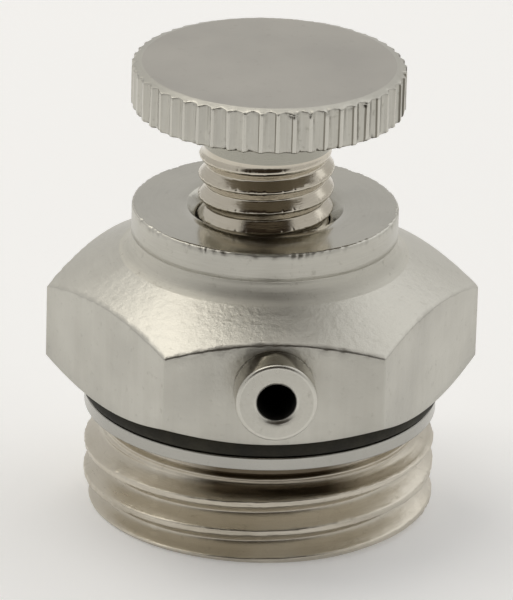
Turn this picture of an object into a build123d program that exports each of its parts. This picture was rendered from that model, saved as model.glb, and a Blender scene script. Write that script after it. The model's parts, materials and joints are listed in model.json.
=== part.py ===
from build123d import *
import math
import os

# Automatic air vent for a radiator or manifold, in millimetres.
# +Z is up and is the axis of the whole valve. The origin is the centre of the
# thread's end face, the face that goes into the pipe fitting first.
# The hose nozzle points along -Y.

CLEAR = 1.0                      # how far a cutting shape reaches past the metal it cuts

# ---- Pipe connection: G 1/2 parallel thread, right hand ----
THREAD_RADIUS = 10.375           # G 1/2 class B major radius
THREAD_ROOT = 9.30
THREAD_PITCH = 1.814
THREAD_CREST = 10.34             # rolled crests, just inside the two gauge lands
THREAD_CREST_HALF = 0.24
THREAD_FLANK = 27.5              # half of the 55 degree Whitworth angle
THREAD_PHASE = 1.582             # height of one crest at -X
THREAD_TOP = 4.45
THREAD_SINK = 0.12               # how deep a ridge's foot reaches into the metal it stands on
THREAD_START = 0.475             # height where the first ridge begins to stand out
END_CHAMFER = 0.375
START_LAND_TOP = 0.75
START_LAND_SLOPE = 0.50          # height over which the first land falls to the root
UNDERCUT_RADIUS = 9.05
UNDERCUT_BOTTOM = 4.80
UNDERCUT_TOP = 5.72
COLLAR_BOTTOM = 6.02
COLLAR_TOP = 6.82

# ---- Sealing ring under the hexagon, squeezed a little flat ----
RING_NECK_RADIUS = 9.05
RING_INNER = 9.07
RING_OUTER = 10.60
RING_BOTTOM = 6.84
RING_TOP = 8.08
RING_ROUND = 0.50
RING_GROOVE_RADIUS = 10.62
RING_GROOVE_TOP = 8.10

# ---- Hexagon, cone and boss ----
HEX_ACROSS_FLATS = 22.0
HEX_BOTTOM = 8.0
HEX_BOTTOM_BEVEL = 30.0
CONE_ANGLE = 27.4
CONE_HEIGHT_AT_FLAT = 14.18
BOSS_RADIUS = 7.8
BOSS_TOP = 18.4
BOSS_FILLET = 1.3
BOSS_EDGE = 0.15
SPIGOT_SINK = 0.50               # how far the spigot's blank reaches up into the hexagon

# ---- Hollow inside the body ----
INSERT_BORE_RADIUS = 6.5
INSERT_BORE_TOP = 5.0
CHAMBER_RADIUS = 4.4
CHAMBER_TOP = 12.9
MOUTH_RADIUS = 4.6
SHANK_HOLE_REACH = 20.0

# ---- Vent screw: M8 stem with a knurled head ----
M8_PITCH = 1.25
M8_CREST = 3.96
M8_ROOT = 3.30
M8_CREST_HALF = 0.10
M8_FLANK = 30.0
M8_PHASE = 0.3375                # height of one crest at -X, whole pitches apart
M8_GAP = 0.11                    # axial play between the two threads' flanks
M8_BORE = 4.06                   # groove bottom of the body's own thread
M8_BORE_CREST = 3.42
STEM_BOTTOM = 14.9
STEM_CHAMFER = 0.20
NECK_RADIUS = 3.75
NECK_BOTTOM = 22.06
NECK_SLOPE = 0.30                # height over which the stem widens into the neck
M8_RUN_OUT = 0.10                # plain metal between the last ridge and the neck
HEAD_RADIUS = 7.97
HEAD_BOTTOM = 24.65
HEAD_TOP = 27.25
HEAD_BEVEL_WIDTH = 0.60
HEAD_BEVEL_DROP = 0.17
HEAD_BOTTOM_EDGE = 0.12
KNURL_COUNT = 52
KNURL_DEPTH = 0.18
KNURL_HALF_WIDTH = 0.36
SOCKET_RADIUS = 1.75
SOCKET_TOP = 18.2
SOCKET_LIP_RADIUS = 1.30
SOCKET_LIP_TOP = 15.5

# ---- Cartridge that the screw carries without turning it ----
SPINDLE_RADIUS = 1.05
SPINDLE_HEAD_RADIUS = 1.25
SPINDLE_HEAD_BOTTOM = 16.35
SPINDLE_HEAD_TOP = 17.9
SPINDLE_COLLAR_RADIUS = 2.30
SPINDLE_COLLAR_BOTTOM = 14.45
SPINDLE_COLLAR_TOP = 14.70
SPINDLE_BORE = 0.50
SPINDLE_BORE_TOP = 12.4
SPINDLE_PORT = 0.30
SPINDLE_PORT_HEIGHT = 11.4
SPINDLE_FOOT_RADIUS = 1.65
SPINDLE_FOOT_BOTTOM = 8.05
SPINDLE_FOOT_TOP = 8.50
CLIP_OUTER_RADIUS = 1.60
CLIP_BOTTOM = 15.62
CLIP_TOP = 16.02
CLIP_SLOT = 1.5
WASHER_RADIUS = 3.20
WASHER_THICKNESS = 0.50
DISC_COUNT = 6
DISC_RADIUS = 3.10
DISC_THICKNESS = 0.50
DISC_BORE = 1.15
SEAL_RADIUS = 2.90
SEAL_THICKNESS = 0.90
SPRING_MEAN_RADIUS = 1.75
SPRING_WIRE = 0.30
SPRING_TURNS = 2
SPRING_PLAY = 0.01
PIN_PLAY = 0.02
WASHER_PLAY = 0.05

# ---- Valve seat, pressed in from below, and its inlet strainer ----
SEAT_TOP = 4.05
SEAT_FLANGE_TOP = 3.2
SEAT_FLANGE_BOTTOM = 1.4
SEAT_LIP_RADIUS = 2.45
SEAT_LIP_WIDTH = 0.45
SEAT_HOLE = 1.25
SEAT_GROOVE_DEPTH = 0.80
SEAT_GROOVE_BOTTOM = 1.85
SEAT_GROOVE_HEIGHT = 1.0
SEAT_RING_SECTION = 0.78
STRAINER_THICKNESS = 0.25
STRAINER_RADIUS = 5.9
STRAINER_HOLE = 0.35
STRAINER_PITCH = 1.25
STRAINER_REACH = 2               # rows of holes on each side of the middle row
RETAINER_BOTTOM = 0.35
RETAINER_HOLE = 4.6

# ---- Discharge nozzle, pressed into the front flat ----
NOZZLE_RADIUS = 2.35
NOZZLE_LENGTH = 2.25
NOZZLE_HEIGHT = 11.5
NOZZLE_BORE = 1.1
NOZZLE_MOUTH = 1.32
NOZZLE_EDGE = 0.18
SHANK_RADIUS = 1.7
SHANK_SETBACK = 0.20             # the shank stops this far short of the chamber's wall


def turned(*points):
    """A solid of revolution about +Z from (radius, height) points."""
    return revolve(make_face(Plane.XZ * Polyline(*points, close=True)), Axis.Z)


def disc(outer, inner, bottom, top):
    """A flat ring, or a plain cylinder when inner is 0."""
    ring = Pos(0, 0, bottom) * extrude(Circle(outer), top - bottom)
    if inner > 0:
        ring -= Pos(0, 0, bottom) * extrude(Circle(inner), top - bottom)
    return ring


def helical_ridge(base, crest, crest_half, flank, pitch, phase, bottom, top):
    """One thread ridge from the base radius to the crest radius, cut flat at both heights.

    The phase is the height of a crest at -X, where the ridge starts.
    """
    sunk = base + math.copysign(THREAD_SINK, base - crest)
    root_half = crest_half + abs(crest - sunk) * math.tan(math.radians(flank))
    first = phase + pitch * (math.floor((bottom - phase) / pitch) - 1)
    turns = math.ceil((top - first) / pitch) + 1
    path = Pos(0, 0, first) * Helix(pitch, turns * pitch, base)
    section = Polyline(
        (sunk, 0, first - root_half),
        (crest, 0, first - crest_half),
        (crest, 0, first + crest_half),
        (sunk, 0, first + root_half),
        close=True,
    )
    ridge = Rot(0, 0, 180) * sweep(make_face(section), path=path, is_frenet=True)
    return ridge & disc(max(base, crest) + CLEAR, 0, bottom, top)


def body_outside():
    """Hexagon, cone and boss, with the threaded spigot and its collar below."""
    corner = HEX_ACROSS_FLATS / math.sqrt(3) + CLEAR
    cone_slope = math.tan(math.radians(CONE_ANGLE))
    bevel_slope = math.tan(math.radians(HEX_BOTTOM_BEVEL))
    flat = HEX_ACROSS_FLATS / 2
    cone_top = CONE_HEIGHT_AT_FLAT + (flat - BOSS_RADIUS) * cone_slope
    outline = make_face(Polyline(
        (0, HEX_BOTTOM),
        (flat, HEX_BOTTOM),
        (corner, HEX_BOTTOM + (corner - flat) * bevel_slope),
        (corner, CONE_HEIGHT_AT_FLAT - (corner - flat) * cone_slope),
        (BOSS_RADIUS, cone_top),
        (BOSS_RADIUS, BOSS_TOP - BOSS_EDGE),
        (BOSS_RADIUS - BOSS_EDGE, BOSS_TOP),
        (0, BOSS_TOP),
        close=True,
    ))
    foot = outline.vertices().sort_by_distance((BOSS_RADIUS, cone_top))[0]
    envelope = revolve(Plane.XZ * fillet(foot, BOSS_FILLET), Axis.Z)
    hexagon = RegularPolygon(HEX_ACROSS_FLATS / 2, 6, major_radius=False)
    head = Pos(0, 0, HEX_BOTTOM) * extrude(hexagon, BOSS_TOP - HEX_BOTTOM) & envelope
    head -= disc(RING_GROOVE_RADIUS, RING_NECK_RADIUS, HEX_BOTTOM, RING_GROOVE_TOP)
    spigot = turned(
        (0, 0),
        (THREAD_RADIUS - END_CHAMFER, 0),
        (THREAD_RADIUS, END_CHAMFER),
        (THREAD_RADIUS, START_LAND_TOP),
        (THREAD_ROOT, START_LAND_TOP + START_LAND_SLOPE),
        (THREAD_ROOT, UNDERCUT_BOTTOM - THREAD_ROOT + UNDERCUT_RADIUS),
        (UNDERCUT_RADIUS, UNDERCUT_BOTTOM),
        (UNDERCUT_RADIUS, UNDERCUT_TOP),
        (THREAD_RADIUS, COLLAR_BOTTOM),
        (THREAD_RADIUS, COLLAR_TOP),
        (RING_NECK_RADIUS, COLLAR_TOP),
        (RING_NECK_RADIUS, HEX_BOTTOM + SPIGOT_SINK),
        (0, HEX_BOTTOM + SPIGOT_SINK),
    )
    thread = helical_ridge(THREAD_ROOT, THREAD_CREST, THREAD_CREST_HALF, THREAD_FLANK,
                           THREAD_PITCH, THREAD_PHASE, THREAD_START, THREAD_TOP)
    return head + spigot + thread


def body_hollow():
    """Seat bore, disc chamber, screw hole with its mouth, and the nozzle's hole."""
    mouth_depth = MOUTH_RADIUS - M8_BORE_CREST
    bore_start = CHAMBER_TOP + CHAMBER_RADIUS - M8_BORE
    hollow = turned(
        (0, -CLEAR),
        (INSERT_BORE_RADIUS, -CLEAR),
        (INSERT_BORE_RADIUS, INSERT_BORE_TOP),
        (CHAMBER_RADIUS, INSERT_BORE_TOP),
        (CHAMBER_RADIUS, CHAMBER_TOP),
        (M8_BORE, bore_start),
        (M8_BORE, BOSS_TOP - MOUTH_RADIUS + M8_BORE),
        (MOUTH_RADIUS, BOSS_TOP),
        (MOUTH_RADIUS, BOSS_TOP + CLEAR),
        (0, BOSS_TOP + CLEAR),
    )
    drill = extrude(Circle(SHANK_RADIUS), SHANK_HOLE_REACH)
    shank_hole = Pos(0, 0, NOZZLE_HEIGHT) * (Plane.XZ * drill)
    female = helical_ridge(M8_BORE, M8_BORE_CREST, female_crest_half(), M8_FLANK,
                           M8_PITCH, M8_PHASE + M8_PITCH / 2,
                           bore_start + M8_RUN_OUT, BOSS_TOP - mouth_depth)
    return hollow, shank_hole, female


def female_crest_half():
    """Half width of the body's own M8 ridge that leaves the running gap on both flanks."""
    depth = M8_CREST - M8_BORE_CREST
    screw_half = M8_CREST_HALF + depth * math.tan(math.radians(M8_FLANK))
    return M8_PITCH / 2 - screw_half - M8_GAP


def valve_body():
    hollow, shank_hole, female = body_hollow()
    return body_outside() - hollow - shank_hole + female


def flange_o_ring():
    """Sealing ring in its groove, squeezed from a round section to a fuller one."""
    section = RectangleRounded(RING_OUTER - RING_INNER, RING_TOP - RING_BOTTOM, RING_ROUND)
    middle = Pos((RING_OUTER + RING_INNER) / 2, (RING_TOP + RING_BOTTOM) / 2)
    return revolve(Plane.XZ * (middle * section), Axis.Z)


def discharge_nozzle():
    """Short hose spout with a thinner shank that is pressed through the hexagon's wall."""
    flat = HEX_ACROSS_FLATS / 2
    tip = flat + NOZZLE_LENGTH
    shank_end = CHAMBER_RADIUS + SHANK_SETBACK
    spout = turned(
        (NOZZLE_BORE, shank_end),
        (SHANK_RADIUS, shank_end),
        (SHANK_RADIUS, flat),
        (NOZZLE_RADIUS, flat),
        (NOZZLE_RADIUS, tip - NOZZLE_EDGE),
        (NOZZLE_RADIUS - NOZZLE_EDGE, tip),
        (NOZZLE_MOUTH, tip),
        (NOZZLE_BORE, tip - NOZZLE_MOUTH + NOZZLE_BORE),
    )
    return Pos(0, 0, NOZZLE_HEIGHT) * (Rot(90, 0, 0) * spout)


def knurl_grooves():
    """The V grooves of the straight knurl, evenly spaced round the head."""
    vee = Polyline(
        (HEAD_RADIUS - KNURL_DEPTH, 0),
        (HEAD_RADIUS, KNURL_HALF_WIDTH),
        (HEAD_RADIUS + KNURL_DEPTH, KNURL_HALF_WIDTH),
        (HEAD_RADIUS + KNURL_DEPTH, -KNURL_HALF_WIDTH),
        (HEAD_RADIUS, -KNURL_HALF_WIDTH),
        close=True,
    )
    length = HEAD_TOP - HEAD_BOTTOM + 2 * CLEAR
    groove = Pos(0, 0, HEAD_BOTTOM - CLEAR) * extrude(make_face(vee), length)
    return [Rot(0, 0, 360 * step / KNURL_COUNT) * groove for step in range(KNURL_COUNT)]


def vent_screw():
    """Knurled head, plain neck and M8 stem in one piece, with a swivel socket in its end."""
    turned_blank = turned(
        (0, STEM_BOTTOM),
        (M8_ROOT - STEM_CHAMFER, STEM_BOTTOM),
        (M8_ROOT, STEM_BOTTOM + STEM_CHAMFER),
        (M8_ROOT, NECK_BOTTOM - NECK_SLOPE),
        (NECK_RADIUS, NECK_BOTTOM),
        (NECK_RADIUS, HEAD_BOTTOM),
        (HEAD_RADIUS - HEAD_BOTTOM_EDGE, HEAD_BOTTOM),
        (HEAD_RADIUS, HEAD_BOTTOM + HEAD_BOTTOM_EDGE),
        (HEAD_RADIUS, HEAD_TOP - HEAD_BEVEL_DROP),
        (HEAD_RADIUS - HEAD_BEVEL_WIDTH, HEAD_TOP),
        (0, HEAD_TOP),
    )
    socket = turned(
        (0, STEM_BOTTOM - CLEAR),
        (SOCKET_LIP_RADIUS, STEM_BOTTOM - CLEAR),
        (SOCKET_LIP_RADIUS, SOCKET_LIP_TOP),
        (SOCKET_RADIUS, SOCKET_LIP_TOP),
        (SOCKET_RADIUS, SOCKET_TOP),
        (0, SOCKET_TOP + SOCKET_RADIUS / 2),
    )
    thread = helical_ridge(M8_ROOT, M8_CREST, M8_CREST_HALF, M8_FLANK, M8_PITCH, 0,
                           STEM_BOTTOM + STEM_CHAMFER, NECK_BOTTOM - M8_RUN_OUT)
    phase_turn = -360 * M8_PHASE / M8_PITCH
    return Rot(0, 0, phase_turn) * (turned_blank + thread - socket) - knurl_grooves()


def cartridge_spindle():
    """Hollow pin: its head swivels in the screw's socket and its foot holds the discs.

    With the seat shut, air can pass only up its bore, out of its cross hole
    and between the discs.
    """
    pin = turned(
        (0, SPINDLE_FOOT_BOTTOM),
        (SPINDLE_FOOT_RADIUS, SPINDLE_FOOT_BOTTOM),
        (SPINDLE_FOOT_RADIUS, SPINDLE_FOOT_TOP),
        (SPINDLE_RADIUS, SPINDLE_FOOT_TOP),
        (SPINDLE_RADIUS, SPINDLE_COLLAR_BOTTOM),
        (SPINDLE_COLLAR_RADIUS, SPINDLE_COLLAR_BOTTOM),
        (SPINDLE_COLLAR_RADIUS, SPINDLE_COLLAR_TOP),
        (SPINDLE_RADIUS, SPINDLE_COLLAR_TOP),
        (SPINDLE_RADIUS, SPINDLE_HEAD_BOTTOM),
        (SPINDLE_HEAD_RADIUS, SPINDLE_HEAD_BOTTOM),
        (SPINDLE_HEAD_RADIUS, SPINDLE_HEAD_TOP),
        (0, SPINDLE_HEAD_TOP),
    )
    drill = Cylinder(SPINDLE_PORT, 2 * (SPINDLE_RADIUS + CLEAR))
    port = Pos(0, 0, SPINDLE_PORT_HEIGHT) * Rot(90, 0, 0) * drill
    return pin - disc(SPINDLE_BORE, 0, SPINDLE_FOOT_BOTTOM, SPINDLE_BORE_TOP) - port


def swivel_clip():
    """Split ring under the spindle's head: it springs out above the socket's lip."""
    ring = disc(CLIP_OUTER_RADIUS, SPINDLE_RADIUS + PIN_PLAY, CLIP_BOTTOM, CLIP_TOP)
    gap = Box(CLIP_SLOT, 2 * CLEAR, 2 * CLEAR)
    slot = Pos(0, -CLIP_OUTER_RADIUS, (CLIP_BOTTOM + CLIP_TOP) / 2) * gap
    return ring - slot


def pack_heights():
    """Heights of the stack on the spindle, from its foot up."""
    seal = SPINDLE_FOOT_TOP
    lower = seal + SEAL_THICKNESS
    discs = lower + WASHER_THICKNESS
    upper = discs + DISC_COUNT * DISC_THICKNESS
    return seal, lower, discs, upper


def seat_seal():
    seal = pack_heights()[0]
    return disc(SEAL_RADIUS, SPINDLE_RADIUS + PIN_PLAY, seal, seal + SEAL_THICKNESS)


def cartridge_washer(bottom):
    return disc(WASHER_RADIUS, SPINDLE_RADIUS + WASHER_PLAY, bottom, bottom + WASHER_THICKNESS)


def hygroscopic_disc(index):
    """One fibre disc of the stack; it swells when it is wet and closes the air's way."""
    bottom = pack_heights()[2] + index * DISC_THICKNESS
    return disc(DISC_RADIUS, DISC_BORE, bottom, bottom + DISC_THICKNESS)


def pack_spring():
    """Short coil that holds the disc stack together and gives way as it swells."""
    inset = SPRING_WIRE / 2 + SPRING_PLAY
    start = pack_heights()[3] + WASHER_THICKNESS + inset
    rise = SPINDLE_COLLAR_BOTTOM - inset - start
    coil = Pos(0, 0, start) * Helix(rise / SPRING_TURNS, rise, SPRING_MEAN_RADIUS)
    wire = Plane(coil @ 0, z_dir=coil % 0) * Circle(SPRING_WIRE / 2)
    return sweep(wire, path=coil, is_frenet=True)


def seat_insert():
    """Brass seat: a flange with an O-ring groove, and the raised lip that the seal meets."""
    groove_radius = INSERT_BORE_RADIUS - SEAT_GROOVE_DEPTH
    groove_top = SEAT_GROOVE_BOTTOM + SEAT_GROOVE_HEIGHT
    lip_inner = SEAT_LIP_RADIUS - SEAT_LIP_WIDTH
    return turned(
        (SEAT_HOLE, SEAT_FLANGE_BOTTOM),
        (INSERT_BORE_RADIUS, SEAT_FLANGE_BOTTOM),
        (INSERT_BORE_RADIUS, SEAT_GROOVE_BOTTOM),
        (groove_radius, SEAT_GROOVE_BOTTOM),
        (groove_radius, groove_top),
        (INSERT_BORE_RADIUS, groove_top),
        (INSERT_BORE_RADIUS, SEAT_FLANGE_TOP),
        (SEAT_LIP_RADIUS, SEAT_FLANGE_TOP),
        (SEAT_LIP_RADIUS, SEAT_TOP),
        (lip_inner, SEAT_TOP),
        (lip_inner, SEAT_FLANGE_TOP),
        (SEAT_HOLE, SEAT_FLANGE_TOP),
    )


def insert_o_ring():
    middle = SEAT_GROOVE_BOTTOM + SEAT_GROOVE_HEIGHT / 2
    ring = Torus(INSERT_BORE_RADIUS - SEAT_GROOVE_DEPTH / 2, SEAT_RING_SECTION / 2)
    return Pos(0, 0, middle) * ring


def inlet_strainer():
    """Thin perforated disc that keeps dirt off the seat."""
    top = SEAT_FLANGE_BOTTOM
    plate = disc(STRAINER_RADIUS, 0, top - STRAINER_THICKNESS, top)
    punch = Pos(0, 0, top - CLEAR) * extrude(Circle(STRAINER_HOLE), 2 * CLEAR)
    steps = range(-STRAINER_REACH, STRAINER_REACH + 1)
    for column in steps:
        for row in steps:
            plate -= Pos(column * STRAINER_PITCH, row * STRAINER_PITCH, 0) * punch
    return plate


def retaining_ring():
    """Pressed ring that holds the strainer and the seat in the bore."""
    top = SEAT_FLANGE_BOTTOM - STRAINER_THICKNESS
    return disc(INSERT_BORE_RADIUS, RETAINER_HOLE, RETAINER_BOTTOM, top)


def all_pieces():
    """Every piece of the vent with its name."""
    seal, lower, discs, upper = pack_heights()
    pieces = {
        "valve_body": valve_body(),
        "flange_o_ring": flange_o_ring(),
        "discharge_nozzle": discharge_nozzle(),
        "vent_screw": vent_screw(),
        "cartridge_spindle": cartridge_spindle(),
        "swivel_clip": swivel_clip(),
        "seat_seal": seat_seal(),
        "cartridge_washer_lower": cartridge_washer(lower),
        "cartridge_washer_upper": cartridge_washer(upper),
        "pack_spring": pack_spring(),
        "seat_insert": seat_insert(),
        "insert_o_ring": insert_o_ring(),
        "inlet_strainer": inlet_strainer(),
        "retaining_ring": retaining_ring(),
    }
    for index in range(DISC_COUNT):
        pieces[f"hygroscopic_disc_{index + 1}"] = hygroscopic_disc(index)
    return pieces


os.makedirs("parts", exist_ok=True)
for name, piece in all_pieces().items():
    export_step(piece, f"parts/{name}.step")
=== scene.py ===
import json
import math
import random

import bpy
import numpy as np
from mathutils import Matrix, Vector


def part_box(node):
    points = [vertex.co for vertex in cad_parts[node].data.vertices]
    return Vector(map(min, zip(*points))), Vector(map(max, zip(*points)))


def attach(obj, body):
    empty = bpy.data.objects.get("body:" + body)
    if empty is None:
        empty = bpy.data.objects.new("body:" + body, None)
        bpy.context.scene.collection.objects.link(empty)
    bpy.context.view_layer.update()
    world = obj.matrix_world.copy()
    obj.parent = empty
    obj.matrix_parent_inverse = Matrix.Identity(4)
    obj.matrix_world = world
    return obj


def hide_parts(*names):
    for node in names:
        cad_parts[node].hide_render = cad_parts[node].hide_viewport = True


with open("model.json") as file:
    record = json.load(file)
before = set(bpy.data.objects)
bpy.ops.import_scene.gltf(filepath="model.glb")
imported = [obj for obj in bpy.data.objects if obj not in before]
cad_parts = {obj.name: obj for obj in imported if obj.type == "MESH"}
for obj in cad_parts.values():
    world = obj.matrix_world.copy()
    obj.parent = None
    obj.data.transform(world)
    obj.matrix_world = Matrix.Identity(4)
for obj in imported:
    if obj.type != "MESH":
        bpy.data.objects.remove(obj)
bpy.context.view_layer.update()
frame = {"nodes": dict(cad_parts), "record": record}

MM = 0.001
TURN = 2 * math.pi

# ---------------------------------------------------------------- sizes, in millimetres
BODY_HIGH = np.array(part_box("valve_body")[1]) / MM
SCREW_LOW, SCREW_HIGH = (np.array(corner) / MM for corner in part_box("vent_screw"))
NOZZLE_LOW, NOZZLE_HIGH = (np.array(corner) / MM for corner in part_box("discharge_nozzle"))
NOZZLE_HEIGHT = (NOZZLE_LOW[2] + NOZZLE_HIGH[2]) / 2
RING_LOW, RING_HIGH = (np.array(corner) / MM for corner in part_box("flange_o_ring"))
MOUNTS = {mount["name"]: mount for mount in frame["record"]["mounts"]}

# hexagon, cone and boss
FLAT = BODY_HIGH[1]                       # half of the hexagon across flats
HEX_BOTTOM = MOUNTS["flange_face"]["pos_m"][2] / MM
HEX_DROP = 0.10                           # how far the flats' edge reaches below the flange
FLANGE_RADIUS = FLAT - 0.08
BEVEL_SLOPE = math.tan(math.radians(30))
CONE_AT_FLAT = 14.18                      # the cone's height at the middle of a flat
CONE_ANGLE = math.radians(27.4)
CONE_SLOPE = math.tan(CONE_ANGLE)
CONE_EDGE = 0.16                          # how far inside the flats the cone begins
FILLET = 1.3
FILLET_HEIGHT = 16.6304                   # of its centre
BOSS_RADIUS = 7.8
BOSS_TOP = BODY_HIGH[2]

# holes in the body
MOUTH = 4.6
MOUTH_DEPTH = 0.03                        # of the small step at the top of the funnel
CHAMBER_RADIUS = 4.4
CHAMBER_TOP = 12.9
BORE_RADIUS = 6.5
BORE_TOP = 5.0
NOZZLE_HOLE = 1.7
NOZZLE_HOLE_START = 3.0                   # from the axis

# spigot with the pipe thread, the collar and the ring's groove
PIPE_RADIUS = MOUNTS["pipe_thread"]["dims"]["r_mm"]
PIPE_ROOT = 9.30
PIPE_PITCH = 1.814
PIPE_PHASE = 1.582
PIPE_CREST = PIPE_RADIUS - 0.03           # before wear, which is taken off it
PIPE_CREST_HALF = 0.16
PIPE_FULLNESS = 1.6
PIPE_LEAD_IN = 0.40
COLLAR_BOTTOM = 6.02
COLLAR_TOP = 6.82
NECK_RADIUS = 9.05
GROOVE_RADIUS = 10.62
GROOVE_TOP = 8.10

# section of the thread's undercut: a lip divides it from a narrow slot under the collar
UNDERCUT_HEIGHTS = (4.10, 4.25, 4.45, 4.68, 4.79, 4.95, 5.02, 5.08, 5.16, 5.80, 5.92, 5.98, 6.02)
UNDERCUT_RADII = (10.6, 9.95, 9.50, 9.25, 9.24, 9.28, 9.20, 8.98, 8.92, 8.95, 9.15, 9.90, 10.34)

# the screw's thread: the valleys as the photo shows them, and the root at its lower end
M8_PITCH = 1.25
M8_PHASE = 0.3375
M8_CREST = 3.96
M8_CREST_HALF = 0.05
M8_VALLEY = 3.49
M8_ROOT = 3.30
M8_PLAY = 0.10

# head, stem and the spindle's socket
HEAD_RADIUS = SCREW_HIGH[0] + 0.02
HEAD_TOP = SCREW_HIGH[2]
HEAD_THICKNESS = 2.6
RIM_WIDTH = 0.60
RIM_DROP = 0.17
STEM_BOTTOM = SCREW_LOW[2]
STEM_NECK = 3.75
STEM_NECK_BOTTOM = 22.06
SOCKET_MOUTH = 1.30
SOCKET_RADIUS = 1.75
SOCKET_STEP = 15.5                        # height where the mouth widens
SOCKET_TOP = 18.2
SOCKET_TIP = 19.0
TEETH = 52


# ---------------------------------------------------------------- mesh helpers
def smooth_min(a, b, reach):
    """The smaller of two values, with a rounded change-over of the given reach."""
    h = np.clip(0.5 + 0.5 * (b - a) / reach, 0, 1)
    return b + (a - b) * h - reach * h * (1 - h)


def smooth_max(a, b, reach):
    """The larger of two values, with the same rounded change-over."""
    return -smooth_min(-np.asarray(a), -np.asarray(b), reach)


def wave_noise(angle, seed, harmonics, low):
    """Smooth noise round the axis, about -1 to 1, the same on every run."""
    draw = random.Random(seed)
    total = np.zeros_like(angle)
    for step in range(harmonics):
        order = low + draw.randrange(low, low + 9 * harmonics)
        total += math.cos(step) * np.sin(order * angle + draw.uniform(0, TURN))
    return total / math.sqrt(harmonics)


def nicks(angle, seed, count, width, depth, start=0, end=TURN):
    """Small dents at random places between two angles: how deep each column is cut."""
    draw = random.Random(seed)
    cut = np.zeros_like(angle)
    for _ in range(count):
        place = draw.uniform(start, end)
        spread = width * draw.uniform(0.5, 1.6)
        away = np.abs((angle - place + math.pi) % TURN - math.pi)
        cut = np.maximum(cut, depth * draw.uniform(0.3, 1) * np.exp(-(away / spread) ** 2))
    return cut


class Lathe:
    """Rings of points round +Z, from which one mesh is skinned; sizes are in millimetres."""

    def __init__(self, angles):
        self.angles = angles
        self.rings = []
        self.finishes = []

    def ring(self, radius, height, finish=0):
        """One more ring; the finish, one or one a column, is that of the band up to the next."""
        full = np.ones_like(self.angles)
        self.rings.append((radius * full, height * full))
        self.finishes.append(np.broadcast_to(finish, self.angles.shape))

    def line(self, start, end, steps, finish=0):
        """Rings from one (radius, height) to another, the last left out."""
        for step in range(steps):
            part = step / steps
            radius = start[0] + (end[0] - start[0]) * part
            height = start[1] + (end[1] - start[1]) * part
            self.ring(radius, height, finish)

    def arc(self, centre, size, first, last, steps, finish=0):
        """Rings along an arc in the section; the two angles are in degrees."""
        for step in range(steps + 1):
            turn = math.radians(first + (last - first) * step / steps)
            self.ring(centre[0] + size * math.cos(turn), centre[1] + size * math.sin(turn), finish)

    def mesh(self, name, closed, materials):
        """Skins the rings. A closed section joins the last ring to the first one."""
        columns = len(self.angles)
        cos, sin = np.cos(self.angles), np.sin(self.angles)
        vertices, starts = [], []
        for radius, height in self.rings:
            starts.append(len(vertices))
            if np.all(radius == 0):
                vertices.append((0, 0, float(np.mean(height)) * MM))
            else:
                vertices.extend(np.stack([radius * cos, radius * sin, height], 1) * MM)
        faces, finishes = [], []
        count = len(self.rings)
        for index in range(count if closed else count - 1):
            below, above = starts[index], starts[(index + 1) % count]
            below_pole = np.all(self.rings[index][0] == 0)
            above_pole = np.all(self.rings[(index + 1) % count][0] == 0)
            for column in range(columns):
                after = (column + 1) % columns
                if below_pole:
                    faces.append((below, above + after, above + column))
                elif above_pole:
                    faces.append((below + column, below + after, above))
                else:
                    faces.append((below + column, below + after, above + after, above + column))
                finishes.append(int(self.finishes[index][column]))
        data = bpy.data.meshes.new(name)
        data.from_pydata([tuple(point) for point in vertices], [], faces)
        for material in materials:
            data.materials.append(material)
        data.polygons.foreach_set("material_index", finishes)
        data.polygons.foreach_set("use_smooth", [True] * len(faces))
        data.update()
        piece = bpy.data.objects.new(name, data)
        bpy.context.scene.collection.objects.link(piece)
        return piece


def cut(piece, tool):
    """Cuts one closed mesh out of another and throws the tool away."""
    modifier = piece.modifiers.new("cut", "BOOLEAN")
    modifier.operation = "DIFFERENCE"
    modifier.solver = "MANIFOLD"
    modifier.object = tool
    bpy.context.view_layer.update()
    evaluated = piece.evaluated_get(bpy.context.evaluated_depsgraph_get())
    rest = bpy.data.meshes.new_from_object(evaluated)
    piece.modifiers.remove(modifier)
    old = piece.data
    piece.data = rest
    bpy.data.meshes.remove(old)
    bpy.data.objects.remove(tool)


def keep_flats_flat(piece):
    """Weights the normals by area, so that large faces stay flat beside rounded edges."""
    modifier = piece.modifiers.new("weighted_normals", "WEIGHTED_NORMAL")
    modifier.weight = 50
    modifier.keep_sharp = False


def thread_radius(angle, height, pitch, phase, crest, root, crest_half, fullness):
    """Radius of a right-hand thread at one height, for each angle.

    The phase is the height of a crest at -X. Fullness is the power of the flanks' curve: 1 is
    straight, and more is rounder at the root.
    """
    climb = height - phase - pitch * (angle - math.pi) / TURN
    away = np.abs((climb / pitch + 0.5) % 1 - 0.5) * pitch
    up = np.clip(1 - np.maximum(away - crest_half, 0) / (pitch / 2 - crest_half), 0, 1)
    return root + (crest - root) * up ** fullness


def screw_thread_radius(angle, height):
    """Radius of the M8 thread at one height, for each angle."""
    return thread_radius(angle, height, M8_PITCH, M8_PHASE, M8_CREST, M8_VALLEY, M8_CREST_HALF, 1)


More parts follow.
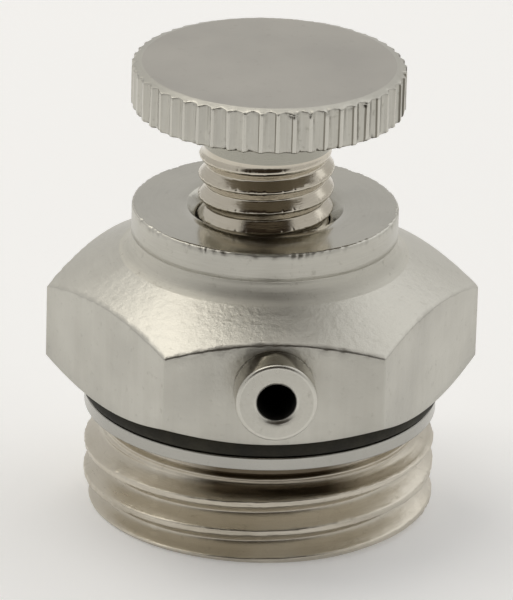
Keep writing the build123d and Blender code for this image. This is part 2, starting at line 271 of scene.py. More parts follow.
# ---------------------------------------------------------------- colours
# each metal's darker, middle and lighter tones, and the same for the fibre discs
NICKEL = [(0.505, 0.493, 0.447), (0.545, 0.532, 0.482), (0.575, 0.56, 0.505)]
WARM_NICKEL = [(0.50, 0.47, 0.405), (0.55, 0.522, 0.455), (0.585, 0.56, 0.49)]
FLAT_NICKEL = [(0.475, 0.463, 0.42), (0.545, 0.532, 0.482), (0.61, 0.598, 0.545)]
COLLAR_NICKEL = [(0.42, 0.413, 0.385), (0.45, 0.442, 0.41), (0.48, 0.47, 0.435)]
THREAD_NICKEL = [(0.56, 0.515, 0.43), (0.62, 0.575, 0.49), (0.66, 0.62, 0.54)]
# painted shade: the stem's neck, under the head, darker than the plating elsewhere
NECK_SHADE_NICKEL = [(0.38, 0.37, 0.325), (0.405, 0.395, 0.345), (0.43, 0.42, 0.37)]
LAND_NICKEL = [(0.58, 0.565, 0.515), (0.62, 0.605, 0.55), (0.66, 0.645, 0.59)]
BRIGHT_NICKEL = [(0.62, 0.605, 0.55), (0.68, 0.665, 0.605), (0.73, 0.71, 0.65)]
HEAD_NICKEL = [(0.475, 0.458, 0.425), (0.505, 0.488, 0.452), (0.53, 0.512, 0.475)]
# painted shade: the head's underside, in the head's own shade, far darker than the plating
# elsewhere
UNDER_HEAD_SHADE_NICKEL = [(0.13, 0.11, 0.08), (0.18, 0.155, 0.115), (0.24, 0.21, 0.165)]
# painted shade: dark tone for the creases beside some of the knurl's lands
CREASE_SHADE_NICKEL = [(0.18, 0.17, 0.14), (0.25, 0.235, 0.20), (0.32, 0.305, 0.26)]
# painted shade: the nozzle's bore, a small fraction as bright as the plating, for the dark inside
# the hole
BORE_SHADE_NICKEL = [tuple(0.12 * c for c in tone) for tone in NICKEL]
BRASS = [(0.62, 0.43, 0.18), (0.72, 0.52, 0.24), (0.78, 0.59, 0.30)]
STEEL = [(0.45, 0.45, 0.46), (0.55, 0.55, 0.55), (0.62, 0.62, 0.61)]
CELLULOSE = [(0.30, 0.19, 0.10), (0.46, 0.32, 0.19), (0.60, 0.46, 0.30)]
RING_BLACK = (0.015, 0.013, 0.006)
INNER_BLACK = (0.03, 0.03, 0.03)
BLACK, WHITE = (0, 0, 0), (1, 1, 1)
# colour of the painted shade in hollows
HOLLOW_SHADE = (0.17, 0.14, 0.10)
# colour of the painted shade in the undercut
UNDERCUT_SHADE = (0.10, 0.075, 0.045)

# how dark the painted shade in the undercut is, from the lower to the upper one of two heights
UNDERCUT_SHADE_HEIGHTS = (4.0 * MM, 6.1 * MM)
UNDERCUT_SHADE_LEVELS = ((0.00, 0), (0.03, 0.5), (0.12, 1), (0.26, 1), (0.31, 0.6), (0.36, 0.6),
               (0.385, 0.1), (0.45, 0.1), (0.48, 1), (0.93, 1), (0.97, 0))
RING_DRIFT = 0.06                         # how slowly turned marks change round the axis


# ---------------------------------------------------------------- materials
def new_material(name):
    """A material with its nodes, links and shader."""
    material = bpy.data.materials.new(name)
    material.use_nodes = True
    nodes = material.node_tree.nodes
    return material, nodes, material.node_tree.links, nodes["Principled BSDF"]


def object_place(nodes):
    """Where a point is on its piece, in metres."""
    return nodes.new("ShaderNodeTexCoord").outputs["Object"]


def noise(nodes, links, vector, scale, detail, rough=0.55, fourth=None):
    """Noise between 0 and 1, in four dimensions if there is a fourth coordinate."""
    node = nodes.new("ShaderNodeTexNoise")
    if fourth is not None:
        node.noise_dimensions = "4D"
        links.new(fourth, node.inputs["W"])
    node.inputs["Scale"].default_value = scale
    node.inputs["Detail"].default_value = detail
    node.inputs["Roughness"].default_value = rough
    links.new(vector, node.inputs["Vector"])
    return node.outputs["Fac"]


def ramp(nodes, links, value, stops):
    """Turns a value into a colour, by stops of a value and its colour."""
    node = nodes.new("ShaderNodeValToRGB")
    elements = node.color_ramp.elements
    while len(elements) < len(stops):
        elements.new(0.5)
    for element, (place, colour) in zip(elements, stops):
        element.position = place
        element.color = (*colour, 1)
    links.new(value, node.inputs["Fac"])
    return node.outputs["Color"]


def rescale(nodes, links, value, source, target):
    """Rescales one span of values to another, and stops at its ends."""
    node = nodes.new("ShaderNodeMapRange")
    node.inputs["From Min"].default_value, node.inputs["From Max"].default_value = source
    node.inputs["To Min"].default_value, node.inputs["To Max"].default_value = target
    links.new(value, node.inputs["Value"])
    return node.outputs["Result"]


def math_node(nodes, links, operation, *inputs):
    """A sum, product or the like of numbers and values."""
    node = nodes.new("ShaderNodeMath")
    node.operation = operation
    for socket, value in zip(node.inputs, inputs):
        if isinstance(value, (int, float)):
            socket.default_value = value
        else:
            links.new(value, socket)
    return node.outputs["Value"]


def weighted(nodes, links, first, part, second):
    """The mean of two values, with the first one's share of it."""
    return math_node(nodes, links, "ADD", math_node(nodes, links, "MULTIPLY", first, part),
                     math_node(nodes, links, "MULTIPLY", second, 1 - part))


def colour_mix(nodes, blend_type):
    """A Mix node for colours."""
    node = nodes.new("ShaderNodeMix")
    node.data_type = "RGBA"
    node.blend_type = blend_type
    return node


def shaded(nodes, links, surface, shade, amount):
    """The surface's colour, darkened by a shade."""
    node = colour_mix(nodes, "MULTIPLY")
    node.inputs["Factor"].default_value = amount
    links.new(surface, node.inputs["A"])
    links.new(shade, node.inputs["B"])
    return node.outputs["Result"]


def blended(nodes, links, surface, colour, mask, amount):
    """The surface's colour, turned towards another one where the mask is high."""
    node = colour_mix(nodes, "MIX")
    links.new(math_node(nodes, links, "MULTIPLY", mask, amount), node.inputs["Factor"])
    links.new(surface, node.inputs["A"])
    node.inputs["B"].default_value = (*colour, 1)
    return node.outputs["Result"]


def bump(nodes, links, height, strength, distance, normal=None):
    """Relief, in metres, over a plain surface or over another relief's normal."""
    node = nodes.new("ShaderNodeBump")
    node.inputs["Strength"].default_value = strength
    node.inputs["Distance"].default_value = distance
    links.new(height, node.inputs["Height"])
    if normal is not None:
        links.new(normal, node.inputs["Normal"])
    return node.outputs["Normal"]


def round_axis(nodes, links, place):
    """A place's x, y and z, and its distance from the Z axis."""
    split = nodes.new("ShaderNodeSeparateXYZ")
    links.new(place, split.inputs["Vector"])
    x, y, z = split.outputs
    squares = [math_node(nodes, links, "MULTIPLY", value, value) for value in (x, y)]
    return x, y, z, math_node(nodes, links, "SQRT", math_node(nodes, links, "ADD", *squares))


def stretched(nodes, links, place, lay):
    """Coordinates that draw noise out into machining marks, and a fourth one or None.

    turned: rings round +Z. upright: lines along Z. cast: no direction. The rings have no seam,
    because x and y take part in them instead of an angle.
    """
    if lay == "cast":
        return place, None
    if lay == "upright":
        node = nodes.new("ShaderNodeMapping")
        node.inputs["Scale"].default_value = (1, 1, 0.05)
        links.new(place, node.inputs["Vector"])
        return node.outputs["Vector"], None
    x, y, z, radius = round_axis(nodes, links, place)
    join = nodes.new("ShaderNodeCombineXYZ")
    links.new(radius, join.inputs["X"])
    links.new(z, join.inputs["Y"])
    links.new(math_node(nodes, links, "MULTIPLY", x, RING_DRIFT), join.inputs["Z"])
    return join.outputs["Vector"], math_node(nodes, links, "MULTIPLY", y, RING_DRIFT)


def undercut_shade_mask(nodes, links, place):
    """Where shade is painted into the undercut: below and above its lip, and less at the sides."""
    x, _, z, radius = round_axis(nodes, links, place)
    level = rescale(nodes, links, z, UNDERCUT_SHADE_HEIGHTS, (0, 1))
    by_height = ramp(nodes, links, level, [(part, (undercut_shade_amount,) * 3) for part, undercut_shade_amount in UNDERCUT_SHADE_LEVELS])
    by_depth = rescale(nodes, links, radius, (10.28 * MM, 10.0 * MM), (0, 1))
    aside = math_node(nodes, links, "ABSOLUTE", math_node(nodes, links, "SUBTRACT", x, 0.2 * MM))
    by_side = rescale(nodes, links, aside, (5.6 * MM, 3.2 * MM), (0.05, 1))
    return math_node(nodes, links, "MULTIPLY", by_height,
                     math_node(nodes, links, "MULTIPLY", by_depth, by_side))


def metal(name, colours, lay, roughness, mark_scale=9000, mark_depth=0.06, pit_depth=0.05,
          stain=0.5, hollow_shade_amount=0.35, edges=True, shine=0.5, undercut_shade_amount=0.0):
    """Plated or bare metal: drifting tone, machining marks, pits, worn edges, painted shade in
    hollows and in the undercut.

    The colours are its darker, middle and lighter tones. stain is how far spots and streaks darken
    it, grime how dark the painted shade in its hollows is, shine how bright its edges are, and
    soil how dark the painted shade in the undercut is. edges=False leaves edges and hollows out,
    for faces too long for them.
    """
    material, nodes, links, shader = new_material(name)
    place = object_place(nodes)
    marks_at, fourth = stretched(nodes, links, place, lay)
    cloud = noise(nodes, links, place, 170, 3)
    fine = noise(nodes, links, place, 1900, 5, 0.65)
    marks = noise(nodes, links, marks_at, mark_scale, 3, 0.6, fourth)
    surface = ramp(nodes, links, cloud, list(zip((0.32, 0.52, 0.72), colours)))
    spots = ramp(nodes, links, fine, [(0.27, (0.66, 0.65, 0.62)), (0.40, WHITE)])
    surface = shaded(nodes, links, surface, spots, stain)
    streaks = ramp(nodes, links, marks, [(0.36, (0.80, 0.79, 0.77)), (0.60, WHITE)])
    surface = shaded(nodes, links, surface, streaks, 0.5 * stain)
    if edges:
        pointiness = nodes.new("ShaderNodeNewGeometry").outputs["Pointiness"]
        edge = ramp(nodes, links, pointiness, [(0.515, BLACK), (0.59, WHITE)])
        # painted shade: hollows, found by pointiness, are turned dark
        hollow = ramp(nodes, links, pointiness, [(0.40, WHITE), (0.485, BLACK)])
        bright = [min(1, (1 + 0.5 * shine) * c) for c in colours[2]]
        surface = blended(nodes, links, surface, bright, edge, shine)
        surface = blended(nodes, links, surface, HOLLOW_SHADE, hollow, hollow_shade_amount)
    # painted shade in the undercut, less at the sides than at the front and back
    if undercut_shade_amount:
        surface = blended(nodes, links, surface, UNDERCUT_SHADE, undercut_shade_mask(nodes, links, place), undercut_shade_amount)
    links.new(surface, shader.inputs["Base Color"])
    shader.inputs["Metallic"].default_value = 1.0
    uneven = weighted(nodes, links, cloud, 0.5, marks)
    links.new(rescale(nodes, links, uneven, (0, 1), (roughness * 0.6, roughness * 1.45)),
              shader.inputs["Roughness"])
    pits = bump(nodes, links, fine, pit_depth, 0.0002)
    lines = bump(nodes, links, marks, mark_depth, 0.0001, pits)
    links.new(lines, shader.inputs["Normal"])
    return material


def rubber(name, colour):
    """Moulded rubber: nearly black, with a faint cloud and a fine grain."""
    material, nodes, links, shader = new_material(name)
    place = object_place(nodes)
    cloud = noise(nodes, links, place, 400, 4)
    grain = noise(nodes, links, place, 6000, 5, 0.7)
    dark = tuple(0.6 * c for c in colour)
    light = tuple(1.6 * c + 0.004 for c in colour)
    links.new(ramp(nodes, links, cloud, [(0.35, dark), (0.5, colour), (0.7, light)]),
              shader.inputs["Base Color"])
    links.new(rescale(nodes, links, grain, (0, 1), (0.5, 0.85)), shader.inputs["Roughness"])
    shader.inputs["Specular IOR Level"].default_value = 0.35
    links.new(bump(nodes, links, grain, 0.15, 0.0001), shader.inputs["Normal"])
    return material


def fibre(name):
    """Pressed cellulose: matt, flecked and slightly fuzzy."""
    material, nodes, links, shader = new_material(name)
    place = object_place(nodes)
    fleck = noise(nodes, links, place, 3500, 6, 0.7)
    cloud = noise(nodes, links, place, 600, 3)
    blend = weighted(nodes, links, fleck, 0.6, cloud)
    links.new(ramp(nodes, links, blend, list(zip((0.35, 0.5, 0.65), CELLULOSE))),
              shader.inputs["Base Color"])
    links.new(rescale(nodes, links, fleck, (0, 1), (0.75, 0.95)), shader.inputs["Roughness"])
    links.new(bump(nodes, links, fleck, 0.4, 0.0001), shader.inputs["Normal"])
    return material


# ---------------------------------------------------------------- the body
def hexagon_radius(angles):
    """How far the hexagon reaches at each angle, with its upright corners slightly rounded."""
    reach = np.full_like(angles, 1e3)
    for side in range(6):
        normal = math.radians(30 + 60 * side)
        facing = np.cos(angles - normal)
        distance = np.where(facing > 0.1, FLAT / np.maximum(facing, 0.1), 1e3)
        reach = smooth_min(reach, distance, 0.10)
    return reach


def cone_height(radius):
    """Height of the cone between the hexagon and the boss at each radius."""
    return CONE_AT_FLAT - (radius - FLAT) * CONE_SLOPE


def body_angles():
    """Even columns, with more of them beside the hexagon's corners."""
    even = np.linspace(0, TURN, 360, endpoint=False)
    extra = [TURN * side / 6 + math.radians(step) for side in range(6)
             for step in (-0.75, -0.5, -0.25, 0.25, 0.5, 0.75)]
    return np.array(sorted(set(np.round(np.concatenate([even, np.array(extra) % TURN]), 7))))


def spigot_radius(angles, height, wear):
    """Pipe thread with worn crests, undercut and collar, at one height."""
    if height > UNDERCUT_HEIGHTS[-1]:
        bevel = 0.10 * max(0, (height - COLLAR_TOP + 0.08) / 0.08) ** 2
        return np.full_like(angles, min(PIPE_RADIUS + 0.02 - bevel, PIPE_RADIUS))
    thread = thread_radius(angles, height, PIPE_PITCH, PIPE_PHASE, PIPE_CREST, PIPE_ROOT,
                           PIPE_CREST_HALF, PIPE_FULLNESS)
    crest = np.clip((thread - PIPE_ROOT - 0.55) / 0.4, 0, 1)
    thread = thread - crest * wear * (0.6 + 0.4 * np.sin(9 * height + 5 * angles))
    thread = smooth_min(thread, PIPE_RADIUS - PIPE_LEAD_IN + height, 0.10)
    relief = np.interp(height, UNDERCUT_HEIGHTS, UNDERCUT_RADII)
    return smooth_min(thread, np.full_like(angles, relief), 0.04)


def body_metals():
    """The body's finishes, in the order in which build_body numbers them."""
    return [
        metal("nickel_on_flats", FLAT_NICKEL, "upright", 0.34, 1100, 0.03, 0.22, 0.5, edges=False),
        metal("nickel_turned", NICKEL, "turned", 0.32, 9000, 0.12, 0.08, 0.6),
        metal("nickel_cone", LAND_NICKEL, "turned", 0.40, 9000, 0.06, 0.22, 0.4, edges=False),
        metal("nickel_fillet", BRIGHT_NICKEL, "turned", 0.58, 9000, 0.10, 0.10, 0.6, edges=False),
        metal("nickel_faced", NICKEL, "turned", 0.12, 12000, 0.02, 0.02, 0.3, edges=False),
        # the threaded spigot gets painted shade in its undercut
        metal("nickel_threaded", THREAD_NICKEL, "turned", 0.30, 11000, 0.08, 0.14, 0.5, 0.5,
              shine=0.3, undercut_shade_amount=0.9),
        metal("nickel_mouth", NICKEL, "turned", 0.20, 9000, 0.06, 0.05, 0.4, 0.0),
        metal("nickel_inside", NICKEL, "turned", 0.28, 7000, 0.10, 0.06),
        metal("nickel_collar", COLLAR_NICKEL, "turned", 0.24, 9000, 0.04, 0.06, 0.3, edges=False),
        metal("nickel_worn_edge", LAND_NICKEL, "turned", 0.34, 9000, 0.06, 0.10, 0.5, edges=False),
    ]


def nozzle_hole():
    """Closed cylinder the size of the nozzle's hole, to be cut out of the body."""
    hole = Lathe(np.linspace(0, TURN, 48, endpoint=False))
    length = FLAT + 1 - NOZZLE_HOLE_START
    hole.ring(0, 0)
    hole.line((NOZZLE_HOLE, 0), (NOZZLE_HOLE, length), 1)
    hole.ring(NOZZLE_HOLE, length)
    hole.ring(0, length)
    tool = hole.mesh("nozzle_hole", False, [])
    tool.matrix_world = (Matrix.Translation(Vector((0, -NOZZLE_HOLE_START, NOZZLE_HEIGHT)) * MM)
                         @ Matrix.Rotation(math.radians(90), 4, "X"))
    return tool


def build_body():
    """The plated body, turned from one section, with the nozzle's hole cut out of it."""
    lathe = Lathe(body_angles())
    angles = lathe.angles
    flats, turned, cone, fillet, boss_face, threaded, mouth, inside, collar, worn = range(10)
    reach = hexagon_radius(angles)
    rim = nicks(angles, 7, 90, 0.010, 0.13) + 0.012 * wave_noise(angles, 3, 9, 20)
    hex_wear = nicks(angles, 11, 80, 0.014, 0.16) + 0.014 * wave_noise(angles, 5, 9, 16)
    # spigot, from the end face up to the ring's groove
    lathe.line((BORE_RADIUS, 0), (PIPE_RADIUS - 0.45, 0), 4, turned)
    rows = 124
    wear = 0.035 + 0.025 * wave_noise(angles, 13, 14, 12) + nicks(angles, 17, 70, 0.012, 0.07)
    for row in range(rows + 1):
        height = COLLAR_TOP * row / rows
        radius = np.minimum(spigot_radius(angles, height, wear), PIPE_RADIUS)
        lathe.ring(radius, height, threaded if height < COLLAR_BOTTOM else collar)
    lathe.line((NECK_RADIUS + 0.3, COLLAR_TOP), (NECK_RADIUS, COLLAR_TOP), 1, turned)
    lathe.line((NECK_RADIUS, COLLAR_TOP), (NECK_RADIUS, GROOVE_TOP), 4, turned)
    lathe.line((NECK_RADIUS, GROOVE_TOP), (GROOVE_RADIUS, GROOVE_TOP), 3, turned)
    lathe.line((GROOVE_RADIUS, GROOVE_TOP), (GROOVE_RADIUS, HEX_BOTTOM), 1, turned)
    # underside bevel, flats, cone
    lathe.line((GROOVE_RADIUS, HEX_BOTTOM), (FLANGE_RADIUS, HEX_BOTTOM), 2, turned)
    low = HEX_BOTTOM + np.maximum(reach - FLAT, 0) * BEVEL_SLOPE
    high = cone_height(reach) - hex_wear * 0.4
    for part in (0.0, 0.5):
        lathe.ring(FLANGE_RADIUS + (reach - 0.12 - FLANGE_RADIUS) * part,
                   HEX_BOTTOM + (low - HEX_DROP - HEX_BOTTOM) * part, turned)
    for inward, down in ((0.06, HEX_DROP), (0.02, 0.8 * HEX_DROP), (0.0, 0.4 * HEX_DROP)):
        lathe.ring(reach - inward, low - down, flats)
    for part in (0.15, 0.35, 0.5, 0.65, 0.85):
        lathe.ring(reach, low + (high - low) * part, flats)
    lathe.ring(reach, high - 0.12, flats)
    lathe.ring(reach - 0.015 - hex_wear * 0.25, high - 0.045, worn)
    lathe.ring(reach - 0.06 - hex_wear * 0.25, high, cone)
    edge = reach - CONE_EDGE
    lathe.ring(edge, cone_height(edge), cone)
    start = BOSS_RADIUS + FILLET - FILLET * math.sin(CONE_ANGLE)
    start_up = FILLET_HEIGHT - FILLET * math.cos(CONE_ANGLE)
    for part in (0.05, 0.2, 0.4, 0.6, 0.8):
        radius = edge + (start - edge) * part
        lathe.ring(radius, cone_height(radius) + (start_up - cone_height(start)) * part, cone)
    for step in range(11):
        turn = CONE_ANGLE + (math.pi / 2 - CONE_ANGLE) * step / 10
        lathe.ring(BOSS_RADIUS + FILLET - FILLET * math.sin(turn),
                   FILLET_HEIGHT - FILLET * math.cos(turn), fillet)
    # boss, with a faint turned step above the fillet
    lathe.ring(BOSS_RADIUS - 0.02, FILLET_HEIGHT + 0.03, turned)
    lathe.ring(BOSS_RADIUS - 0.02, FILLET_HEIGHT + 0.10, turned)
    lathe.line((BOSS_RADIUS, FILLET_HEIGHT + 0.14), (BOSS_RADIUS, BOSS_TOP - 0.10), 5, turned)
    lathe.ring(BOSS_RADIUS - rim * 0.5, BOSS_TOP - 0.09 - rim * 0.3, worn)
    lathe.ring(BOSS_RADIUS - 0.03 - rim, BOSS_TOP - 0.03 - rim * 0.4, worn)
    lathe.ring(BOSS_RADIUS - 0.10 - rim, BOSS_TOP, boss_face)
    lathe.line((BOSS_RADIUS - 0.25, BOSS_TOP), (MOUTH + 0.12, BOSS_TOP), 5, boss_face)
    # mouth, body's own thread, chamber and seat bore
    lathe.ring(MOUTH + 0.05, BOSS_TOP, mouth)
    top = BOSS_TOP - MOUTH_DEPTH
    lathe.ring(MOUTH, top, mouth)
    rows, funnel_rows = 46, 12
    low_thread = CHAMBER_TOP + CHAMBER_RADIUS - M8_CREST - M8_PLAY
    for row in range(1, rows + 1):
        height = top - (top - low_thread) * row / rows
        funnel = MOUTH - (top - height)
        wall = screw_thread_radius(angles, height) + M8_PLAY
        lathe.ring(smooth_max(wall, funnel, 0.08), height, mouth if row <= funnel_rows else inside)
    lathe.line((CHAMBER_RADIUS, CHAMBER_TOP), (CHAMBER_RADIUS, BORE_TOP), 6, inside)
    lathe.line((CHAMBER_RADIUS, BORE_TOP), (BORE_RADIUS, BORE_TOP), 2, inside)
    lathe.line((BORE_RADIUS, BORE_TOP), (BORE_RADIUS, 0), 5, inside)
    piece = lathe.mesh("valve_body_plated", True, body_metals())
    cut(piece, nozzle_hole())
    keep_flats_flat(piece)
    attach(piece, "body")
    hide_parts("valve_body")
    return piece


# ---------------------------------------------------------------- vent screw
def screw_angles():
    """Columns at the same places in every tooth of the knurl."""
    places = (0.0, 0.11, 0.17, 0.27, 0.40, 0.50, 0.60, 0.73, 0.83, 0.89)
    return np.array([TURN * (tooth + place) / TEETH for tooth in range(TEETH) for place in places])


def tooth_place(angles):
    """The number of each column's tooth, and how far across the tooth the column is."""
    phase = angles / TURN * TEETH + 1e-6
    return np.floor(phase).astype(int) % TEETH, phase % 1


def knurled_radius(angles, height_part):
    """The head's side: shallow flutes between narrow lands, each a little different."""
    draw = random.Random(21)
    tooth, place = tooth_place(angles)
    shift = np.array([draw.uniform(-0.03, 0.03) for _ in range(TEETH)])[tooth]
    depth = np.array([draw.uniform(0.14, 0.27) for _ in range(TEETH)])[tooth]
    lean = np.array([draw.uniform(-0.07, 0.07) for _ in range(TEETH)])[tooth]
    away = np.abs(place - 0.5 - shift - lean * (height_part - 0.5))
    flute = np.clip(1 - (away / 0.41) ** 1.7, 0, 1)
    crease = 0.07 * np.exp(-((place - 0.83) / 0.03) ** 2)
    return HEAD_RADIUS - depth * flute * (0.75 + 0.25 * height_part) - crease


def rim_height(radius):
    """Height of the head's bevelled rim at each radius."""
    out = np.clip((radius - HEAD_RADIUS + RIM_WIDTH) / RIM_WIDTH, 0, 1)
    return HEAD_TOP - RIM_DROP * out


def build_head(lathe, bottom):
    """Knurled head, from the middle of its top to the stem, with its lower face at bottom."""
    top, rim, flute, land, crease, under = range(6)
    angles = lathe.angles
    tooth, place = tooth_place(angles)
    draw = random.Random(23)
    # painted shade: on these teeth the crease beside the land gets the dark tone
    shaded_crease_teeth = np.array([draw.random() < 0.4 for _ in range(TEETH)])[tooth]
    side = np.where((place < 0.10) | (place > 0.88), land, flute)
    side = np.where(shaded_crease_teeth & (place > 0.82) & (place < 0.88), crease, side)
    rim_nicks = nicks(angles, 31, 44, 0.010, 0.13) + 0.010 * np.abs(wave_noise(angles, 33, 12, 30))
    rim_nicks += nicks(angles, 37, 14, 0.010, 0.22, math.radians(270), math.radians(318))
    low_nicks = nicks(angles, 35, 48, 0.012, 0.15)
    lathe.ring(0, HEAD_TOP, top)
    start = HEAD_RADIUS - RIM_WIDTH
    for radius in (0.6, 2.0, 3.6, 5.2, 6.5, start - 0.15, start - 0.04, start - 0.01):
        lathe.ring(radius, HEAD_TOP, top)
    edge = knurled_radius(angles, 1.0)
    for part in (0.01, 0.05, 0.3, 0.55, 0.72, 0.85, 0.96):
        radius = np.minimum(HEAD_RADIUS - RIM_WIDTH * (1 - part),
                            edge - 0.02 - 0.05 * (0.96 - part))
        lathe.ring(radius, rim_height(radius) - rim_nicks * part ** 4, rim)
    rim_edge = rim_height(edge) - 0.035
    lathe.ring(edge - 0.4 * rim_nicks, rim_edge - rim_nicks, side)
    lathe.ring(edge, rim_edge - 0.16, side)
    rim_edge = rim_edge - 0.20
    low_edge = bottom + 0.12 + 0.8 * low_nicks
    rows = 12
    for step in range(1, rows + 1):
        part = step / rows
        lathe.ring(knurled_radius(angles, 1 - part) - (0.5 * low_nicks if step == rows else 0),
                   rim_edge + (low_edge - rim_edge) * part, side)
    low_radius = knurled_radius(angles, 0.0)
    lathe.ring(low_radius - 0.04 - 0.7 * low_nicks, bottom + 0.035 + 0.5 * low_nicks, under)
    lathe.ring(low_radius - 0.13 - 0.7 * low_nicks, bottom, under)
    lathe.line((7.4, bottom), (STEM_NECK + 0.15, bottom), 4, under)


def build_stem(lathe, bottom):
    """Neck, thread and the spindle's socket, below the head."""
    neck, thread, socket = 6, 7, 8            # after the head's finishes
    angles = lathe.angles
    fillet = 0.15
    for step in range(5):
        turn = math.radians(90 * step / 4)
        lathe.ring(STEM_NECK + fillet * (1 - math.sin(turn)),
                   bottom - fillet * (1 - math.cos(turn)), neck)
    top = STEM_NECK_BOTTOM + 0.25
    lathe.line((STEM_NECK, bottom - 0.2), (STEM_NECK, top), 4, neck)
    worn = nicks(angles, 43, 60, 0.02, 0.05)
    rows = 128
    for row in range(rows + 1):
        height = top - (top - STEM_BOTTOM) * row / rows
        radius = screw_thread_radius(angles, height)
        radius = radius - worn * np.clip((radius - M8_CREST + 0.10) / 0.10, 0, 1)
        run_out = max(0.0, min(1.0, (height - STEM_NECK_BOTTOM + 0.55) / 0.7))
        radius = radius * (1 - run_out) + STEM_NECK * run_out
        tip = M8_ROOT - 0.2 + (height - STEM_BOTTOM)
        lathe.ring(np.minimum(radius, tip), height, thread)
    lathe.line((M8_ROOT - 0.25, STEM_BOTTOM), (SOCKET_MOUTH, STEM_BOTTOM), 2, socket)
    lathe.line((SOCKET_MOUTH, STEM_BOTTOM), (SOCKET_MOUTH, SOCKET_STEP), 2, socket)
    lathe.line((SOCKET_MOUTH, SOCKET_STEP), (SOCKET_RADIUS, SOCKET_STEP), 1, socket)
    lathe.line((SOCKET_RADIUS, SOCKET_STEP), (SOCKET_RADIUS, SOCKET_TOP), 3, socket)
    lathe.ring(SOCKET_RADIUS, SOCKET_TOP, socket)
    lathe.ring(0, SOCKET_TIP, socket)


def build_screw():
    """The vent screw, head and stem in one."""
    lathe = Lathe(screw_angles())
    bottom = HEAD_TOP - HEAD_THICKNESS
    build_head(lathe, bottom)
    build_stem(lathe, bottom)
    piece = lathe.mesh("vent_screw_plated", False, [
        metal("nickel_head_face", HEAD_NICKEL, "cast", 0.44, 4000, 0.04, 0.05, 0.25, edges=False),
        metal("nickel_rim", NICKEL, "turned", 0.34, 8000, 0.06, 0.06, 0.4, edges=False),
        metal("nickel_flutes", NICKEL, "upright", 0.30, 5000, 0.12, 0.14, 0.7, 0.6, shine=0.3),
        # painted highlight: the lands get a lighter tone than the flutes
        metal("nickel_lands_painted_highlight", LAND_NICKEL, "upright", 0.28, 6000, 0.08, 0.10, 0.4, edges=False),
        metal("nickel_creases_painted_shade", CREASE_SHADE_NICKEL, "upright", 0.35, 6000, 0.08, 0.10, 0.4, edges=False),
        # painted shade on the head's underside
        metal("nickel_head_under_painted_shade", UNDER_HEAD_SHADE_NICKEL, "turned", 0.34, 8000, 0.08, 0.05, edges=False),
        metal("nickel_neck_painted_shade", NECK_SHADE_NICKEL, "turned", 0.26, 9000, 0.06, 0.05, 0.3, edges=False),
        metal("nickel_m8_thread", THREAD_NICKEL, "turned", 0.15, 9000, 0.05, 0.05, edges=False),
        metal("nickel_socket", NICKEL, "turned", 0.25, 9000, 0.08, 0.05),
    ])
    keep_flats_flat(piece)
    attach(piece, "screw")
    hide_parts("vent_screw")
    return piece


# ---------------------------------------------------------------- nozzle and sealing ring
def build_nozzle():
    """The round spout: built round +Z, then turned so that its tip faces -Y."""
    lathe = Lathe(np.linspace(0, TURN, 128, endpoint=False))
    radius = (NOZZLE_HIGH[0] - NOZZLE_LOW[0]) / 2
    tip, back = -NOZZLE_LOW[1], -NOZZLE_HIGH[1]
    bore, mouth, edge, shank = 1.1, 1.30, 0.19, 1.69
    lathe.line((bore, back), (shank, back), 1)
    lathe.line((shank, back), (shank, FLAT + 0.01), 3)
    lathe.line((shank, FLAT + 0.01), (radius - 0.04, FLAT + 0.01), 1)
    lathe.ring(radius - 0.03, FLAT + 0.01)
    lathe.line((radius, FLAT + 0.04), (radius, tip - edge), 5)
    lathe.arc((radius - edge, tip - edge), edge, 0, 90, 8, 2)
    lathe.line((radius - edge - 0.05, tip), (mouth + 0.05, tip), 3, 1)
    lathe.ring(mouth, tip - 0.012, 2)
    lathe.line((mouth - 0.02, tip - 0.022), (bore + 0.03, tip - 0.13), 4, 2)
    lathe.line((bore, tip - 0.18), (bore, back), 6, 3)
    piece = lathe.mesh("discharge_nozzle_plated", True, [
        metal("nickel_spout", WARM_NICKEL, "cast", 0.16, 5000, 0.06, 0.06, edges=False),
        metal("nickel_spout_end", NICKEL, "cast", 0.30, 5000, 0.10, 0.12, edges=False),
        metal("nickel_spout_lip", LAND_NICKEL, "cast", 0.30, 5000, 0.06, 0.05, 0.3, edges=False),
        metal("nickel_spout_bore_painted_shade", BORE_SHADE_NICKEL, "cast", 0.6),
    ])
    piece.data.transform(Matrix.Translation(Vector((0, 0, NOZZLE_HEIGHT * MM)))
                         @ Matrix.Rotation(math.radians(90), 4, "X"))
    keep_flats_flat(piece)
    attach(piece, "body")
    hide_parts("discharge_nozzle")
    return piece


def build_ring():
    """Sealing ring squeezed to a full, round-cornered section."""
    lathe = Lathe(np.linspace(0, TURN, 240, endpoint=False))
    tall = (RING_HIGH[2] - RING_LOW[2]) / 2
    wide = (RING_HIGH[0] - NECK_RADIUS - 0.02) / 2
    height = (RING_HIGH[2] + RING_LOW[2]) / 2
    rows = 32
    squareness = 0.62
    for row in range(rows):
        turn = TURN * row / rows
        cos, sin = math.cos(turn), math.sin(turn)
        flash = 0.03 * math.exp(-(sin / 0.10) ** 2) if cos > 0 else 0
        out = math.copysign(abs(cos) ** squareness, cos)
        up = math.copysign(abs(sin) ** squareness, sin)
        lathe.ring(RING_HIGH[0] - wide - 0.03 + (wide - 0.01) * out + flash, height + tall * up)
    piece = lathe.mesh("flange_o_ring_rubber", True, [rubber("black_rubber", RING_BLACK)])
    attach(piece, "body")
    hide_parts("flange_o_ring")
    return piece


# ---------------------------------------------------------------- inner CAD pieces
def paint(node, material):
    """Gives a CAD node one material."""
    data = frame["nodes"][node].data
    data.materials.clear()
    data.materials.append(material)


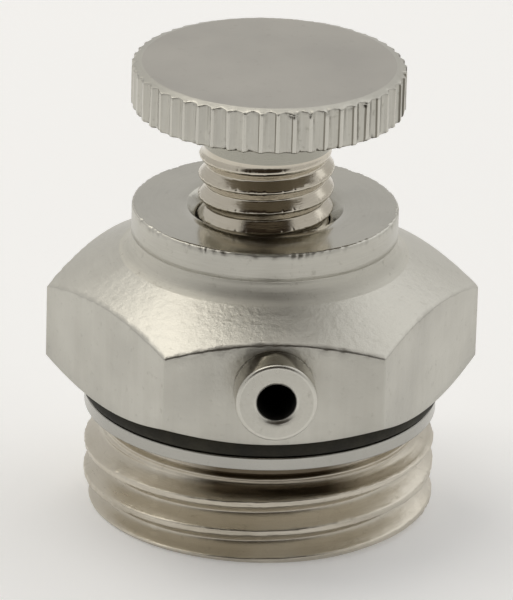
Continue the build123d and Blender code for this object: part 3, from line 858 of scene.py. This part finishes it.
def paint_inner_pieces():
    """Materials for the CAD nodes that no finer piece replaces."""
    turned_brass = metal("turned_brass", BRASS, "turned", 0.25)
    stamped_brass = metal("stamped_brass", BRASS, "cast", 0.30)
    steel = metal("stainless", STEEL, "cast", 0.28)
    inner_rubber = rubber("inner_rubber", INNER_BLACK)
    discs = fibre("cellulose_fibre")
    for node in ("seat_insert", "retaining_ring", "cartridge_spindle"):
        paint(node, turned_brass)
    for node in ("cartridge_washer_lower", "cartridge_washer_upper"):
        paint(node, stamped_brass)
    for node in ("swivel_clip", "pack_spring", "inlet_strainer"):
        paint(node, steel)
    for node in ("insert_o_ring", "seat_seal"):
        paint(node, inner_rubber)
    for node in frame["nodes"]:
        if node.startswith("hygroscopic_disc"):
            paint(node, discs)


# ---------------------------------------------------------------- stage, light and camera
DARK_WAY = (-0.07, -0.76, 0.645)          # the way to the middle of the room's dark part
PALE_ROOM = (0.63, 0.62, 0.60)
DARK_ROOM = (0.03, 0.022, 0.015)
MIDDLE = Vector((0, 0, 0.014))            # of the object, in metres


def build_floor():
    """Pale floor, a hair below the end face so that the two don't coincide."""
    material, nodes, links, shader = new_material("pale_floor")
    shader.inputs["Base Color"].default_value = (0.93, 0.93, 0.93, 1)
    shader.inputs["Roughness"].default_value = 0.9
    shader.inputs["Emission Color"].default_value = (1, 1, 1, 1)
    shader.inputs["Emission Strength"].default_value = 0.20
    size, low = 1.6, -0.01 * MM
    data = bpy.data.meshes.new("floor")
    data.from_pydata([(-size, -size, low), (size, -size, low), (size, size, low),
                      (-size, size, low)], [], [(0, 1, 2, 3)])
    data.materials.append(material)
    floor = bpy.data.objects.new("floor", data)
    bpy.context.scene.collection.objects.link(floor)


def softbox(name, place, size, power, colour):
    """Rectangular light that faces the middle of the object."""
    light = bpy.data.lights.new(name, "AREA")
    light.shape = "RECTANGLE"
    light.size, light.size_y = size
    light.energy = power
    light.color = colour
    lamp = bpy.data.objects.new(name, light)
    bpy.context.scene.collection.objects.link(lamp)
    aim = MIDDLE - Vector(place)
    lamp.matrix_world = (Matrix.Translation(place)
                         @ aim.to_track_quat("-Z", "Y").to_matrix().to_4x4())


def build_light():
    """Pale room with a dark part high in front, and two softboxes."""
    world = bpy.data.worlds.new("studio")
    bpy.context.scene.world = world
    world.use_nodes = True
    nodes, links = world.node_tree.nodes, world.node_tree.links
    towards = nodes.new("ShaderNodeTexCoord").outputs["Generated"]
    facing = nodes.new("ShaderNodeVectorMath")
    facing.operation = "DOT_PRODUCT"
    facing.inputs[1].default_value = DARK_WAY
    links.new(towards, facing.inputs[0])
    shade = ramp(nodes, links, facing.outputs["Value"], [(0.72, PALE_ROOM), (0.81, DARK_ROOM)])
    links.new(shade, nodes["Background"].inputs["Color"])
    nodes["Background"].inputs["Strength"].default_value = 1.0
    softbox("left_softbox", (-0.12, 0.10, 0.38), (0.30, 0.26), 0.40, (1.0, 0.96, 0.88))
    softbox("right_softbox", (0.26, 0.20, 0.32), (0.34, 0.34), 0.19, (0.98, 0.99, 1.0))


def build_camera():
    """Camera at the photograph's angle, as fitted to the object's outlines."""
    elevation, azimuth, roll = (math.radians(a) for a in (22.66, 4.18, 1.66))
    distance, across, up = 0.3948, -0.00036, 0.01235
    side = Vector((math.cos(azimuth), -math.sin(azimuth), 0))
    back = Vector((-math.sin(azimuth) * math.cos(elevation),
                   -math.cos(azimuth) * math.cos(elevation), math.sin(elevation)))
    above = back.cross(side)
    right = side * math.cos(roll) + above * math.sin(roll)
    top = back.cross(right)
    place = side * across + Vector((0, 0, up)) + back * distance
    data = bpy.data.cameras.new("camera")
    data.lens = 403.6                     # the fitted focal length, in mm on a 36 mm sensor
    data.sensor_width = 36
    data.clip_start = 0.01
    camera = bpy.data.objects.new("camera", data)
    camera.matrix_world = Matrix((
        (right.x, top.x, back.x, place.x),
        (right.y, top.y, back.y, place.y),
        (right.z, top.z, back.z, place.z),
        (0, 0, 0, 1)))
    bpy.context.scene.collection.objects.link(camera)
    bpy.context.scene.camera = camera


build_camera()
build_light()
build_floor()
build_body()
build_screw()
build_nozzle()
build_ring()
paint_inner_pieces()
bpy.context.scene.view_settings.view_transform = "Standard"
bpy.context.view_layer.update()
